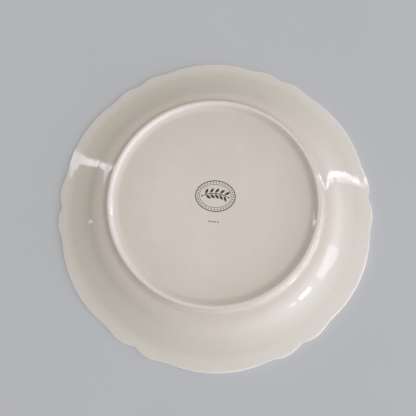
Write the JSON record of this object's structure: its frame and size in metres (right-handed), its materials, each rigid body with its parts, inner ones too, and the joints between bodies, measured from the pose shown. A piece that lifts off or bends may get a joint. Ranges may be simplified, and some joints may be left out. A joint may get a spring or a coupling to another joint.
{
  "type": "dinner plate",
  "caption": "Glazed china dinner plate lying face down: flat base with a round foot ring, flared rim and a scalloped edge with small notches.",
  "frame": {"origin": "on the plate's axis, in the plane of the lip, which the plate lies on when it is face down", "axes": "+Z from the food side to the foot ring along the plate's axis; +X through one notch of the rim; +Y through the middle of a wide lobe"},
  "size_m": [0.278, 0.28, 0.023],
  "materials": {
    "fired_clay": "fine fired clay, bare only along a hairline on the lip",
    "back_glaze": "glossy warm beige glaze with a faint mottle",
    "face_glaze": "glossy warm cream glaze",
    "mark_ink": "near-black fired ceramic ink under a thin gloss"
  },
  "bodies": {
    "root": {"clay_body": "fired_clay", "glaze_back": "back_glaze", "glaze_face": "face_glaze", "mark_outer_oval": "mark_ink", "mark_inner_oval": "mark_ink", "mark_beads": "mark_ink", "mark_sprig_stem": "mark_ink", "mark_sprig_leaves": "mark_ink", "mark_sprig_berries": "mark_ink", "mark_batch_dots": "mark_ink"}
  },
  "joints": []
}
